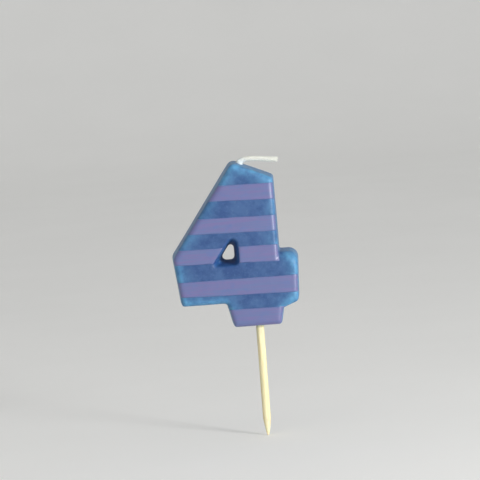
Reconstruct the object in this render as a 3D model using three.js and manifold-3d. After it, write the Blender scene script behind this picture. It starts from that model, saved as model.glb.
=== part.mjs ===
// Birthday candle in the shape of a 4, cast in wax round a cotton wick and a wooden pick.
// Millimetres. The candle stands upright: +Z is up, its face looks along -Y and +X is the reader's right.
// The origin is where the pick's axis meets the underside of the foot, halfway through the wax.

import * as THREE from 'three';
import { mergeVertices } from 'three/addons/utils/BufferGeometryUtils.js';
import Module from 'manifold-3d';

const wasm = await Module();
wasm.setup();

// Wax numeral, seen from the front: reaches are from the pick's axis, heights from the foot's underside.
const BODY_THICKNESS = 9.0;
const APEX_HEIGHT = 44.5;
const LEFT_REACH = 22.0;
const CROSSBAR_TOP_HEIGHT = 19.9;
const DIAGONAL_LEAN_DEG = 35.4;
const TOP_FALL_DEG = 23.6;
const TOP_RIGHT_REACH = 6.6;
const STEM_REACH = 6.95;
const ARM_REACH = 11.75;
const ARM_NARROWING = 0.6;
const ARM_TOP_ROUND = 3.0;
const ARM_UNDERSIDE_HEIGHT = 4.35;
const ARM_UNDERSIDE_RISE = 1.6;
const BAR_UNDERSIDE_HEIGHT = 6.45;
const BAR_END_LEAN = 1.5;
const FOOT_LEFT_REACH = 7.0;
const FOOT_RIGHT_REACH = 6.15;
const FOOT_FLARE = 1.5;

// Counter, the three-sided hole of the 4, set by the widths of the strokes round it. Its left corner is the
// acute one. The corners' rounds change evenly from the face to the back.
const STEM_WIDTH = 11.4;
const DIAGONAL_WIDTH = 10.5;
const BAR_DEPTH = 10.43;
const COUNTER_DRAFT_DEG = 6.5;
const COUNTER_EDGE_RADIUS = 0.7;
const COUNTER_LEFT_RADIUS = 0.4;
const COUNTER_LEFT_BACK_RADIUS = 1.7;
const COUNTER_RIGHT_RADIUS = 1.2;
const COUNTER_RIGHT_BACK_RADIUS = 0.9;

// Moulded rounds and draft.
const SIDE_DRAFT_DEG = 3.0;
const FACE_EDGE_RADIUS = 1.1;
const BACK_EDGE_RADIUS = 0.35;
const APEX_RADIUS = 2.0;
const LEFT_POINT_RADIUS = 2.4;
const ARM_TOP_RADIUS = 2.6;
const ARM_RADIUS = 1.6;
const CORNER_RADIUS = 1.1;
const NOTCH_RADIUS = 0.6;
const FOOT_BEND_RADIUS = 5;

// Printed stripes: thin film on the face, carried part of the way round the moulded edge. The top margin is
// down from the apex. The lowest stripe runs off the foot, and its own top is up from the foot's underside.
const STRIPE_COUNT = 5;
const SPLIT_STRIPE = 3;
const ARM_STRIPE = 4;
const STRIPE_TOP_MARGIN = 6.4;
const LOWEST_STRIPE_TOP = 5.15;
const STRIPE_HEIGHT = 4.3;
const STRIPE_FALL_DEG = 1.1;
const FILM_THICKNESS = 0.12;
const FILM_CLEARANCE = 0.06;
const FILM_WRAP_DEG = 60;

// Wooden pick, pointed at its free end.
const PICK_DIAMETER = 2.1;
const PICK_FREE_LENGTH = 29.5;
const PICK_BURIED_LENGTH = 20.0;
const PICK_POINT_LENGTH = 4.5;
const PICK_TIP_DIAMETER = 0.4;
const PICK_CLEARANCE = 0.15;

// Waxed cotton wick: a straight core in the wax, and a free end folded over at its root. Its bow is steepest
// near the root: the crown is how far it rises over its chord, and the share says how far along it turns.
const WICK_DIAMETER = 1.5;
const WICK_SETBACK = 2.3;
const WICK_RISE = 0.6;
const WICK_FREE_REACH = 10.1;
const WICK_END_DROP = 0.35;
const WICK_CROWN = 0.4;
const WICK_CROWN_SHARE = 0.2;
const WICK_BURIED_LENGTH = 15.0;
const WICK_CLEARANCE = 0.3;

// How finely the curves are cut, and how far a cutting tool runs past the surface that it enters.
const CORNER_STEPS = 5;
const EDGE_STEPS = 5;
const ROUND_SIDES = 32;
const BACK_EDGE_STEPS = 2;
const PICK_SIDES = 20;
const WICK_SIDES = 12;
const WICK_STEPS = 12;
const TOOL_OVERRUN = 5;

const WAX_BLUE = { color: 0x4d6b9e, roughness: 0.45, metalness: 0 };
const STRIPE_LAVENDER = { color: 0x7b7fae, roughness: 0.3, metalness: 0 };
const WICK_WHITE = { color: 0xf1f0e4, roughness: 0.85, metalness: 0 };
const PICK_WOOD = { color: 0xf0deb0, roughness: 0.7, metalness: 0 };

const radians = THREE.MathUtils.degToRad;
const QUARTER_TURN = Math.PI / 2;
const FACE_Y = -BODY_THICKNESS / 2;
const BACK_Y = BODY_THICKNESS / 2;

// Outlines are corners in the X-Z plane, anticlockwise as the reader sees them, each with its round's radius.
function corner(x, z, radius) {
  return { x, z, radius };
}

function apexCorner() {
  const x = -LEFT_REACH + (APEX_HEIGHT - CROSSBAR_TOP_HEIGHT) * Math.tan(radians(DIAGONAL_LEAN_DEG));
  return corner(x, APEX_HEIGHT, APEX_RADIUS);
}

// The height of the sloping top's straight edge at a distance from the pick's axis.
function topHeightAt(x) {
  return APEX_HEIGHT - (x - apexCorner().x) * Math.tan(radians(TOP_FALL_DEG));
}

// The strokes without the arm, at the back, where they are largest, from the foot's lower right corner.
function strokeCorners() {
  return [
    corner(FOOT_RIGHT_REACH, 0, CORNER_RADIUS),
    corner(STEM_REACH, ARM_UNDERSIDE_HEIGHT, FOOT_BEND_RADIUS),
    corner(TOP_RIGHT_REACH, topHeightAt(TOP_RIGHT_REACH), CORNER_RADIUS),
    apexCorner(),
    corner(-LEFT_REACH, CROSSBAR_TOP_HEIGHT, LEFT_POINT_RADIUS),
    corner(-LEFT_REACH + BAR_END_LEAN, BAR_UNDERSIDE_HEIGHT, CORNER_RADIUS),
    corner(-FOOT_LEFT_REACH - FOOT_FLARE, BAR_UNDERSIDE_HEIGHT, NOTCH_RADIUS),
    corner(-FOOT_LEFT_REACH, 0, CORNER_RADIUS),
  ];
}

// The arm, the crossbar's short end to the right. Its root is inside the stem.
function armCorners() {
  const rise = ARM_UNDERSIDE_RISE / (ARM_REACH - ARM_NARROWING - STEM_REACH);
  const overlap = STEM_WIDTH / 3;
  return [
    corner(STEM_REACH - overlap, ARM_UNDERSIDE_HEIGHT - overlap * rise, NOTCH_RADIUS),
    corner(ARM_REACH - ARM_NARROWING, ARM_UNDERSIDE_HEIGHT + ARM_UNDERSIDE_RISE, ARM_RADIUS),
    corner(ARM_REACH, CROSSBAR_TOP_HEIGHT, ARM_TOP_RADIUS),
    corner(STEM_REACH - overlap, CROSSBAR_TOP_HEIGHT, NOTCH_RADIUS),
  ];
}

// The counter where its walls would meet the face if the edge were sharp, with rounds such that one depth
// gets its own radii once the draft there has narrowed the outline.
function counterCorners(y) {
  const lean = radians(DIAGONAL_LEAN_DEG);
  const floor = BAR_UNDERSIDE_HEIGHT + BAR_DEPTH;
  const right = STEM_REACH - STEM_WIDTH;
  const left = -LEFT_REACH + DIAGONAL_WIDTH / Math.cos(lean) + (floor - CROSSBAR_TOP_HEIGHT) * Math.tan(lean);
  const top = floor + (right - left) / Math.tan(lean);
  const share = (y - FACE_Y) / BODY_THICKNESS;
  const leftRadius = THREE.MathUtils.lerp(COUNTER_LEFT_RADIUS, COUNTER_LEFT_BACK_RADIUS, share);
  const rightRadius = THREE.MathUtils.lerp(COUNTER_RIGHT_RADIUS, COUNTER_RIGHT_BACK_RADIUS, share);
  return [
    corner(left, floor, leftRadius + counterDraft(y)),
    corner(right, floor, rightRadius + counterDraft(y)),
    corner(right, top, rightRadius + counterDraft(y)),
  ];
}

// The directions of the two sides that meet at a corner, the shorter one's length and the turn between them.
function sidesAt(corners, i) {
  const here = corners[i];
  const before = corners[(i + corners.length - 1) % corners.length];
  const after = corners[(i + 1) % corners.length];
  const arriving = new THREE.Vector2(here.x - before.x, here.z - before.z);
  const leaving = new THREE.Vector2(after.x - here.x, after.z - here.z);
  const shorter = Math.min(arriving.length(), leaving.length());
  arriving.normalize();
  leaving.normalize();
  const turn = Math.atan2(arriving.cross(leaving), arriving.dot(leaving));
  return { arriving, leaving, shorter, turn };
}

// Moves every side of an outline inwards by one distance and keeps the rounds concentric.
function insetCorners(corners, inset) {
  const sharpest = 0.1;
  return corners.map((here, i) => {
    const { arriving, leaving, turn } = sidesAt(corners, i);
    const mitre = inset / (1 + arriving.dot(leaving));
    return corner(
      here.x - (arriving.y + leaving.y) * mitre,
      here.z + (arriving.x + leaving.x) * mitre,
      Math.max(here.radius - Math.sign(turn) * inset, sharpest),
    );
  });
}

// The outline's points, with each corner cut into an arc. A round takes at most this share of a side.
function roundedOutline(corners) {
  const sideShare = 0.45;
  const points = [];
  corners.forEach((here, i) => {
    const { arriving, shorter, turn } = sidesAt(corners, i);
    const reach = Math.tan(Math.abs(turn) / 2);
    const setback = Math.min(here.radius * reach, sideShare * shorter);
    const toCentre = Math.sign(turn) * setback / reach;
    const start = new THREE.Vector2(here.x, here.z).addScaledVector(arriving, -setback);
    const centre = new THREE.Vector2(start.x - arriving.y * toCentre, start.y + arriving.x * toCentre);
    for (let k = 0; k <= CORNER_STEPS; k += 1) {
      points.push(start.clone().rotateAround(centre, turn * k / CORNER_STEPS));
    }
  });
  return points;
}

// How far the draft alone has brought the outside in at one depth.
function sideDraft(y) {
  return (BACK_Y - y) * Math.tan(radians(SIDE_DRAFT_DEG));
}

// How far the draft alone has narrowed the counter at one depth.
function counterDraft(y) {
  return (y - FACE_Y) * Math.tan(radians(COUNTER_DRAFT_DEG));
}

// How much a rounded edge takes off a wall at some distance below the flat that the edge runs into.
function edgeRound(distance, radius) {
  const rest = Math.max(radius - distance, 0);
  return radius - Math.sqrt(radius ** 2 - rest ** 2);
}

// A level of the moulding, at one depth: how far the draft and the rounded edges have brought the outside in,
// and how far they have opened the counter.
function mouldLevel(y) {
  const backEdge = edgeRound(BACK_Y - y, BACK_EDGE_RADIUS);
  return {
    y,
    inset: sideDraft(y) + edgeRound(y - FACE_Y, FACE_EDGE_RADIUS) + backEdge,
    opening: edgeRound(y - FACE_Y, COUNTER_EDGE_RADIUS) - counterDraft(y) + backEdge,
  };
}

// The rounded face edge from an angle to the flat face, where the angle is a quarter turn.
function faceEdgeLevels(fromAngle) {
  const levels = [];
  for (let k = 0; k <= EDGE_STEPS; k += 1) {
    const angle = fromAngle + (QUARTER_TURN - fromAngle) * k / EDGE_STEPS;
    levels.push(mouldLevel(FACE_Y + FACE_EDGE_RADIUS * (1 - Math.sin(angle))));
  }
  return levels;
}

function backEdgeLevels() {
  const levels = [];
  for (let k = 0; k <= BACK_EDGE_STEPS; k += 1) {
    const angle = QUARTER_TURN * k / BACK_EDGE_STEPS;
    levels.push(mouldLevel(BACK_Y - BACK_EDGE_RADIUS * (1 - Math.cos(angle))));
  }
  return levels;
}

// A closed solid through a stack of levels, back to face, with its hole, if any, open all the way through.
// The hole's corners are given for each depth.
function mouldedSolid(outline, holeAt, levels) {
  const triangles = [];
  const rings = levels.map(({ y, inset, opening }) => ({
    y,
    outside: roundedOutline(insetCorners(outline, inset)),
    hole: roundedOutline(insetCorners(holeAt(y), -opening)),
  }));
  for (let i = 0; i + 1 < rings.length; i += 1) {
    const far = rings[i];
    const near = rings[i + 1];
    addWall(triangles, far.outside, near.outside, far.y, near.y);
    addWall(triangles, near.hole, far.hole, near.y, far.y);
  }
  addCap(triangles, rings[0], false);
  addCap(triangles, rings[rings.length - 1], true);
  const geometry = new THREE.BufferGeometry();
  geometry.setAttribute('position', new THREE.Float32BufferAttribute(triangles.flat(2), 3));
  return solidFrom(geometry);
}

// A band between two matching rings. It faces outwards when the first ring is the one behind.
function addWall(triangles, firstRing, secondRing, firstY, secondY) {
  firstRing.forEach((point, i) => {
    const next = (i + 1) % firstRing.length;
    const a = [point.x, firstY, point.y];
    const b = [firstRing[next].x, firstY, firstRing[next].y];
    const c = [secondRing[next].x, secondY, secondRing[next].y];
    const d = [secondRing[i].x, secondY, secondRing[i].y];
    triangles.push([a, b, c], [a, c, d]);
  });
}

// The flat face or the flat back, with the hole left open.
function addCap(triangles, ring, isFace) {
  const points = [...ring.outside, ...ring.hole];
  const holes = ring.hole.length > 0 ? [ring.hole] : [];
  const at = (index) => [points[index].x, ring.y, points[index].y];
  for (const [a, b, c] of THREE.ShapeUtils.triangulateShape(ring.outside, holes)) {
    triangles.push(isFace ? [at(a), at(b), at(c)] : [at(c), at(b), at(a)]);
  }
}

// A solid for cutting and joining, from a closed geometry.
function solidFrom(geometry) {
  const bare = geometry.clone();
  bare.deleteAttribute('normal');
  bare.deleteAttribute('uv');
  const merged = mergeVertices(bare, 1e-5);
  return new wasm.Manifold(new wasm.Mesh({
    numProp: 3,
    vertProperties: new Float32Array(merged.attributes.position.array),
    triVerts: new Uint32Array(merged.index.array),
  }));
}

function geometryFrom(solid) {
  const { vertProperties, triVerts } = solid.getMesh();
  const geometry = new THREE.BufferGeometry();
  geometry.setAttribute('position', new THREE.Float32BufferAttribute(vertProperties, 3));
  geometry.setIndex(new THREE.Uint32BufferAttribute(triVerts, 1));
  geometry.computeVertexNormals();
  return geometry;
}

// A round bar parallel to the pick, between two heights.
function uprightBar(x, fromZ, toZ, radius, sides) {
  const bar = new THREE.CylinderGeometry(radius, radius, toZ - fromZ, sides);
  bar.rotateX(QUARTER_TURN);
  bar.translate(x, 0, (fromZ + toZ) / 2);
  return bar;
}

// The wick's root: where it leaves the sloping top, the pivot of its fold just above, and its buried end.
function wickRoot() {
  const x = apexCorner().x + WICK_SETBACK;
  const waxHeight = topHeightAt(x);
  return { x, pivot: waxHeight + WICK_RISE, bottom: waxHeight - WICK_BURIED_LENGTH };
}

// What the large round along the arm's top takes away, moved forward and up for the film's skins.
function armTopWaste(forward, upward) {
  const depth = FACE_Y + ARM_TOP_ROUND;
  const axisY = depth - forward;
  const axisZ = CROSSBAR_TOP_HEIGHT - sideDraft(depth) - ARM_TOP_ROUND + upward;
  const size = ARM_TOP_ROUND + TOOL_OVERRUN;
  const length = 2 * ARM_REACH;
  const block = new THREE.BoxGeometry(length, size, size);
  block.translate(length / 2, axisY - size / 2, axisZ + size / 2);
  const round = new THREE.CylinderGeometry(ARM_TOP_ROUND, ARM_TOP_ROUND, 2 * length, ROUND_SIDES);
  round.rotateZ(QUARTER_TURN);
  round.translate(length / 2, axisY, axisZ);
  return solidFrom(block).subtract(solidFrom(round));
}

function strokes(levels) {
  return mouldedSolid(strokeCorners(), counterCorners, levels);
}

// The strokes and the arm as one solid through a stack of levels.
function numeral(levels, forward, upward) {
  const arm = mouldedSolid(armCorners(), () => [], levels).subtract(armTopWaste(forward, upward));
  return strokes(levels).add(arm);
}

// The cast numeral, with the pick's bore from below and the wick's from above.
function waxBody() {
  const root = wickRoot();
  const pickBore = uprightBar(
    0, -TOOL_OVERRUN, PICK_BURIED_LENGTH, PICK_DIAMETER / 2 + PICK_CLEARANCE, PICK_SIDES,
  );
  const wickBore = uprightBar(
    root.x, root.bottom, root.pivot + TOOL_OVERRUN, WICK_DIAMETER / 2 + WICK_CLEARANCE, WICK_SIDES,
  );
  const cast = numeral([...backEdgeLevels(), ...faceEdgeLevels(0)], 0, 0);
  return geometryFrom(cast.subtract(solidFrom(pickBore)).subtract(solidFrom(wickBore)));
}

// The printed skin before it is cut into stripes. It lies on the flat face, just clears the rounded outer
// edge and stops where the counter's edge begins to turn in. Without the arm it ends where the arm begins.
function filmSkin(coversArm) {
  const levels = faceEdgeLevels(QUARTER_TURN - radians(FILM_WRAP_DEG));
  const rim = levels[0];
  const grown = FILM_CLEARANCE + FILM_THICKNESS;
  const outer = [rim, ...levels.map((level) => ({ ...level, y: level.y - FILM_THICKNESS }))]
    .map((level) => ({ ...level, inset: level.inset - grown, opening: COUNTER_EDGE_RADIUS }));
  const inner = [{ ...rim, y: rim.y + FILM_THICKNESS }, ...levels]
    .map((level) => ({ ...level, inset: level.inset - FILM_CLEARANCE, opening: 0 }));
  const covered = coversArm ? numeral(outer, FILM_THICKNESS, grown) : strokes(outer);
  return covered.subtract(numeral(inner, 0, FILM_CLEARANCE));
}

// The slab of space that one stripe, or one side of it, takes out of the skin.
function stripeSlab(topEdge, height, fromX, toX) {
  const slab = new THREE.BoxGeometry(toX - fromX, 2 * BODY_THICKNESS, height);
  slab.translate((fromX + toX) / 2, 0, 0);
  slab.rotateY(radians(STRIPE_FALL_DEG));
  slab.translate(0, 0, topEdge - height / 2);
  return solidFrom(slab);
}

// Evenly spaced stripes, numbered from the top. One runs on over the arm, and the one that the counter
// interrupts is two pieces.
function stripes() {
  const strokesSkin = filmSkin(false);
  const wholeSkin = filmSkin(true);
  const split = STEM_REACH - STEM_WIDTH - COUNTER_RIGHT_RADIUS;
  const farLeft = -2 * LEFT_REACH;
  const farRight = 2 * ARM_REACH;
  const pitch = (APEX_HEIGHT - STRIPE_TOP_MARGIN - LOWEST_STRIPE_TOP) / (STRIPE_COUNT - 1);
  const pieces = {};
  for (let number = 1; number <= STRIPE_COUNT; number += 1) {
    const skin = number === ARM_STRIPE ? wholeSkin : strokesSkin;
    const topEdge = LOWEST_STRIPE_TOP + pitch * (STRIPE_COUNT - number);
    const height = number === STRIPE_COUNT ? STRIPE_HEIGHT + TOOL_OVERRUN : STRIPE_HEIGHT;
    const take = (fromX, toX) => geometryFrom(skin.intersect(stripeSlab(topEdge, height, fromX, toX)));
    if (number === SPLIT_STRIPE) {
      pieces[`stripe_${number}_left`] = take(farLeft, split);
      pieces[`stripe_${number}_right`] = take(split, farRight);
    } else {
      pieces[`stripe_${number}`] = take(farLeft, farRight);
    }
  }
  return pieces;
}

// A turned stick: a long point below, an even shank and a flat end in the wax.
function pick() {
  const radius = PICK_DIAMETER / 2;
  const tip = PICK_TIP_DIAMETER / 2;
  const shoulder = new THREE.Vector2(radius, -PICK_FREE_LENGTH + PICK_POINT_LENGTH);
  const tipEdge = new THREE.Vector2(tip, -PICK_FREE_LENGTH + tip);
  const swell = new THREE.Vector2(radius, shoulder.y - PICK_POINT_LENGTH / 3);
  const point = new THREE.QuadraticBezierCurve(tipEdge, swell, shoulder).getPoints(EDGE_STEPS);
  const profile = [
    new THREE.Vector2(0, -PICK_FREE_LENGTH),
    ...point,
    new THREE.Vector2(radius, PICK_BURIED_LENGTH),
    new THREE.Vector2(0, PICK_BURIED_LENGTH),
  ];
  const stick = new THREE.LatheGeometry(profile, PICK_SIDES);
  stick.rotateX(QUARTER_TURN);
  return geometryFrom(solidFrom(stick));
}

// The buried wick stops below the fold by the clearance that the free end's root turns in.
function wickCore() {
  const root = wickRoot();
  const top = root.pivot - WICK_DIAMETER / 2 - WICK_CLEARANCE;
  return uprightBar(root.x, root.bottom, top, WICK_DIAMETER / 2, WICK_SIDES);
}

// The free wick: a bowed tube to the right, with a round root that fits inside the tube's own facets.
function wickTip() {
  const root = wickRoot();
  const radius = WICK_DIAMETER / 2;
  const start = new THREE.Vector3(root.x, 0, root.pivot);
  const end = new THREE.Vector3(root.x + WICK_FREE_REACH, 0, root.pivot - WICK_END_DROP);
  const crown = start.clone().lerp(end, WICK_CROWN_SHARE).add(new THREE.Vector3(0, 0, 2 * WICK_CROWN));
  const section = [];
  for (let k = 0; k < WICK_SIDES; k += 1) {
    const angle = 2 * Math.PI * k / WICK_SIDES;
    section.push(new THREE.Vector2(radius * Math.cos(angle), radius * Math.sin(angle)));
  }
  const tube = new THREE.ExtrudeGeometry(new THREE.Shape(section), {
    steps: WICK_STEPS,
    extrudePath: new THREE.QuadraticBezierCurve3(start, crown, end),
  });
  const ball = new THREE.SphereGeometry(radius * Math.cos(Math.PI / WICK_SIDES), WICK_SIDES, WICK_SIDES / 2);
  ball.translate(start.x, start.y, start.z);
  return geometryFrom(solidFrom(tube).add(solidFrom(ball)));
}

function mesh(name, geometry, finish) {
  const piece = new THREE.Mesh(geometry, new THREE.MeshStandardMaterial(finish));
  piece.name = name;
  return piece;
}

const candle = new THREE.Group();
candle.add(mesh('wax_body', waxBody(), WAX_BLUE));
for (const [name, geometry] of Object.entries(stripes())) {
  candle.add(mesh(name, geometry, STRIPE_LAVENDER));
}
candle.add(mesh('wick_core', wickCore(), WICK_WHITE));
candle.add(mesh('wick_tip', wickTip(), WICK_WHITE));
candle.add(mesh('pick', pick(), PICK_WOOD));

export default candle;
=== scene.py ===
"""Number candle: the looks of a wax 4 with printed stripes, a waxed cotton wick and a wooden pick.

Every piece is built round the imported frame, in metres, with +Z up and the numeral's face looking
along -Y.
"""

import logging
import math
import random
from dataclasses import dataclass
from enum import Enum, IntEnum
from typing import Callable, Sequence

import bmesh
import bpy
import numpy as np
from mathutils import Matrix, Vector, geometry, noise

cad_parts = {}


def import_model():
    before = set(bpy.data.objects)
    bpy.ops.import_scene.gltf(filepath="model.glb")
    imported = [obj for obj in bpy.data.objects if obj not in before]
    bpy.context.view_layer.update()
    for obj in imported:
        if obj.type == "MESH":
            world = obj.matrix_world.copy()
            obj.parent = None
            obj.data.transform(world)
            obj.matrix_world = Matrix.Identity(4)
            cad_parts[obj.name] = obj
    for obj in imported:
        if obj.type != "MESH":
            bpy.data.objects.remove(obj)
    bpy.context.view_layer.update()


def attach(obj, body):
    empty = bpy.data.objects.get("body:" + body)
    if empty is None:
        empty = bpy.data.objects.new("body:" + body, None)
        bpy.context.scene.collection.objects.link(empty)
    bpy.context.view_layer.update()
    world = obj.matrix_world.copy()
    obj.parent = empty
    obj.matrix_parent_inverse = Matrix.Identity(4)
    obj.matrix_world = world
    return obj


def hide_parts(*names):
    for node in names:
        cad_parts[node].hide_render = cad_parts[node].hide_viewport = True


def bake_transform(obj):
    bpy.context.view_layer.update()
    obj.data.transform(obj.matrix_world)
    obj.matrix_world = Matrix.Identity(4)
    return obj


LOG = logging.getLogger("number_candle")
MM = 0.001
Socket = bpy.types.NodeSocket


class Body(Enum):
    """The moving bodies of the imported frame."""

    CANDLE = "candle"
    WICK = "wick"


class Slot(Enum):
    """The material slots of the record that the pieces take their finishes from."""

    WAX = "blue_wax"
    FILM = "lavender_film"
    COTTON = "waxed_cotton"
    WOOD = "pale_wood"


class Mark(Enum):
    """The values that the meshes hold for their finishes."""

    # pale edge of the wax: partly thin wax, partly painted light
    RIM_PALENESS_AND_LIGHT = "rim"
    # painted shade inside the counter
    COUNTER_SHADE = "hollow"
    BORDER = "border"
    TINT = "tint"
    FIBRES = "fibres"


class Join(Enum):
    """The ways to join two values of a finish."""

    SUM = "ADD"
    PRODUCT = "MULTIPLY"


class Axis(IntEnum):
    """The axes of the frame."""

    X = 0
    Y = 1
    Z = 2


class Side(IntEnum):
    """The side of the counter that a stripe stays on, or neither where it doesn't meet it."""

    LEFT = -1
    NEITHER = 0
    RIGHT = 1


class Winding(IntEnum):
    """The two ways in which the yarns wind round the cord."""

    RIGHT = 1
    LEFT = -1


@dataclass(frozen=True)
class Colour:
    """A colour as it is read off a screen, 0 to 255 for each channel."""

    red: float
    green: float
    blue: float

    def linear(self) -> tuple[float, float, float, float]:
        """Returns the colour as linear light, with full opacity."""
        channels = (self.red / 255, self.green / 255, self.blue / 255)
        light = [c / 12.92 if c <= 0.04045 else ((c + 0.055) / 1.055) ** 2.4 for c in channels]
        return (light[0], light[1], light[2], 1.0)


@dataclass(frozen=True)
class Span:
    """Values from low to high, which become start to end and are held there."""

    low: float
    high: float
    start: float = 0.0
    end: float = 1.0


@dataclass(frozen=True)
class Pattern:
    """A noise: its cells for each unit of its place, how many finer layers and how strong.

    Its span is what its values become, if anything. Its stretch is how closely it is packed along
    each axis. Its place is the piece's own millimetres, or a map of the surface.
    """

    scale: float
    detail: float = 3.0
    rough: float = 0.5
    span: Span | None = None
    stretch: tuple[float, float, float] = (1.0, 1.0, 1.0)
    surface_map: Mark | None = None


class Shader:
    """A material's node tree with short calls for the nodes that the finishes share."""

    share_input, first_colour_input, second_colour_input = 0, 6, 7
    blend_output = 2

    def __init__(self, name: str) -> None:
        """Makes the material, with no places for patterns yet.

        Args:
            name: The material's name.
        """
        self.material = bpy.data.materials.new(name)
        self.material.use_nodes = True
        self.tree = self.material.node_tree
        self.places: dict[tuple[Sequence[float], Mark | None], Socket] = {}

    def plug(self, socket: Socket, value: object) -> None:
        """Links a socket to an output, or sets it to a plain value.

        Args:
            socket: The input to feed.
            value: An output socket, or the value itself.
        """
        if isinstance(value, Socket):
            self.tree.links.new(value, socket)
        else:
            socket.default_value = value

    def feed(self, node: bpy.types.Node, inputs: dict[str, object]) -> None:
        """Feeds a node's inputs by name.

        Args:
            node: The node.
            inputs: Values or sockets, with an underscore for each space in the input's name.
        """
        for name, value in inputs.items():
            self.plug(node.inputs[name.replace("_", " ")], value)

    def node(self, kind: str, **inputs: object) -> bpy.types.Node:
        """Adds a node.

        Args:
            kind: The node's type.
            inputs: What feeds its inputs.

        Returns:
            The new node.
        """
        made = self.tree.nodes.new(kind)
        self.feed(made, inputs)
        return made

    def attribute(self, mark: Mark) -> Socket:
        """Reads what each vertex holds.

        Args:
            mark: The value to read.

        Returns:
            The value.
        """
        made = self.node("ShaderNodeAttribute")
        made.attribute_name = mark.value
        return made.outputs["Fac"]

    def place(self, pattern: Pattern) -> Socket:
        """Gives a pattern its place on the piece. Patterns that share a place get the same one.

        Args:
            pattern: The pattern.

        Returns:
            The place, in millimetres or in the map's units.
        """
        key = (pattern.stretch, pattern.surface_map)
        if key not in self.places:
            if pattern.surface_map:
                source = self.node("ShaderNodeUVMap")
                source.uv_map = pattern.surface_map.value
                where, scale = source.outputs["UV"], pattern.stretch
            else:
                where = self.node("ShaderNodeTexCoord").outputs["Object"]
                scale = tuple(s / MM for s in pattern.stretch)
            mapping = self.node("ShaderNodeMapping", Vector=where, Scale=scale)
            self.places[key] = mapping.outputs["Vector"]
        return self.places[key]

    def spread(self, value: Socket, span: Span | None) -> Socket:
        """Maps a span of values to another, and holds it there.

        Args:
            value: The value to map.
            span: The span, or nothing to leave the value as it is.

        Returns:
            The mapped value.
        """
        if span is None:
            return value
        limits = {
            "From Min": span.low,
            "From Max": span.high,
            "To Min": span.start,
            "To Max": span.end,
        }
        made = self.node("ShaderNodeMapRange", Value=value)
        self.feed(made, limits)
        return made.outputs["Result"]

    def cloud(self, pattern: Pattern) -> Socket:
        """Adds a soft noise.

        Args:
            pattern: The noise.

        Returns:
            Its value, about 0.5 on average before its span.
        """
        made = self.node(
            "ShaderNodeTexNoise",
            Vector=self.place(pattern),
            Scale=pattern.scale,
            Detail=pattern.detail,
            Roughness=pattern.rough,
        )
        return self.spread(made.outputs["Fac"], pattern.span)

    def spots(self, pattern: Pattern) -> Socket:
        """Returns the distance to the nearest of many scattered points, through its span."""
        made = self.node("ShaderNodeTexVoronoi", Vector=self.place(pattern), Scale=pattern.scale)
        return self.spread(made.outputs["Distance"], pattern.span)

    def join(self, way: Join, first: object, second: object) -> Socket:
        """Joins two values.

        Args:
            way: How they are joined.
            first: A value or a socket.
            second: A value or a socket.

        Returns:
            The joined value.
        """
        made = self.node("ShaderNodeMath")
        made.operation = way.value
        self.plug(made.inputs[0], first)
        self.plug(made.inputs[1], second)
        return made.outputs["Value"]

    def blend(self, share: Socket, first: object, second: object) -> Socket:
        """Blends two colours.

        Args:
            share: How much of the second colour there is, from 0 to 1.
            first: A colour or a socket.
            second: A colour or a socket.

        Returns:
            The blended colour.
        """
        made = self.node("ShaderNodeMix")
        made.data_type = "RGBA"
        self.plug(made.inputs[self.share_input], share)
        ends = ((self.first_colour_input, first), (self.second_colour_input, second))
        for number, colour in ends:
            value = colour.linear() if isinstance(colour, Colour) else colour
            self.plug(made.inputs[number], value)
        return made.outputs[self.blend_output]

    def relief(self, height: Socket, depth: float) -> Socket:
        """Returns the surface relief of a height, where a height of 1 is the depth in metres."""
        made = self.node("ShaderNodeBump", Height=height, Strength=1.0, Distance=depth)
        return made.outputs["Normal"]

    def finished(self, **inputs: object) -> bpy.types.Material:
        """Feeds the surface node.

        Args:
            inputs: What feeds its inputs.

        Returns:
            The finished material.
        """
        self.feed(self.tree.nodes["Principled BSDF"], inputs)
        return self.material


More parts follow.
